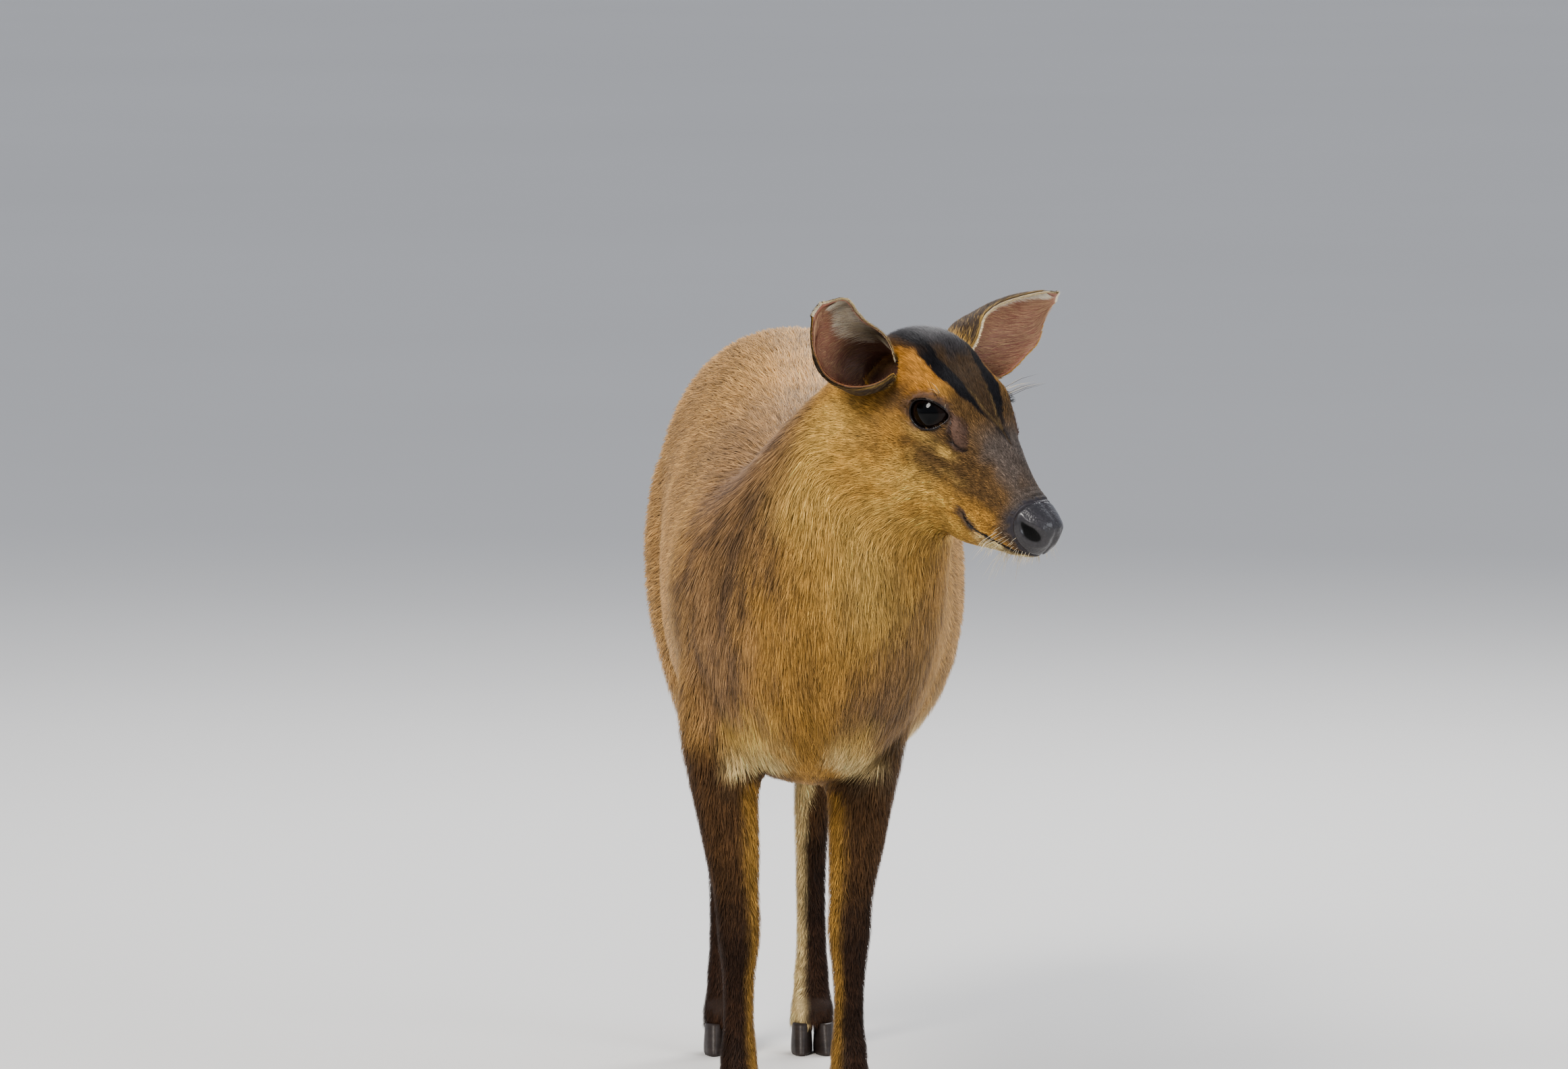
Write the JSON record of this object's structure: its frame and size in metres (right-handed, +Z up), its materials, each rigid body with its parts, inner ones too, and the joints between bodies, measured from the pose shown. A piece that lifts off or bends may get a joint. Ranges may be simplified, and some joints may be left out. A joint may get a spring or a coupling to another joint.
{
  "type": "muntjac deer figure",
  "caption": "Life-size Reeves's muntjac doe, a small deer that stands square with her head lowered and turned to her left.",
  "frame": {"origin": "on the ground under the middle of the bounding box", "axes": "+Z up; the trunk lies along Y with the chest towards -Y; +X is the animal's own left"},
  "size_m": [0.2526, 0.6696, 0.5475],
  "materials": {
    "coat": "short fur",
    "leg": "short dark fur",
    "ear": "thin skin with fine hair",
    "eye": "wet and glossy",
    "nose": "damp bare skin",
    "hoof": "dark horn"
  },
  "bodies": {
    "root": {"torso": "coat", "foreleg_left_upper": "leg", "foreleg_left_lower": "leg", "foreleg_left_pastern": "leg", "hindleg_left_upper": "leg", "hindleg_left_lower": "leg", "hindleg_left_pastern": "leg", "foreleg_right_upper": "leg", "foreleg_right_lower": "leg", "foreleg_right_pastern": "leg", "hindleg_right_upper": "leg", "hindleg_right_lower": "leg", "hindleg_right_pastern": "leg", "nose": "nose", "head": "coat", "neck": "coat", "ear_left": "ear", "eye_left": "eye", "ear_right": "ear", "eye_right": "eye", "tail": "coat", "hoof_foreleg_left_outer": "hoof", "dewclaw_foreleg_left_outer": "hoof", "hoof_foreleg_left_inner": "hoof", "dewclaw_foreleg_left_inner": "hoof", "hoof_hindleg_left_outer": "hoof", "dewclaw_hindleg_left_outer": "hoof", "hoof_hindleg_left_inner": "hoof", "dewclaw_hindleg_left_inner": "hoof", "hoof_foreleg_right_outer": "hoof", "dewclaw_foreleg_right_outer": "hoof", "hoof_foreleg_right_inner": "hoof", "dewclaw_foreleg_right_inner": "hoof", "hoof_hindleg_right_outer": "hoof", "dewclaw_hindleg_right_outer": "hoof", "hoof_hindleg_right_inner": "hoof", "dewclaw_hindleg_right_inner": "hoof"}
  },
  "joints": []
}
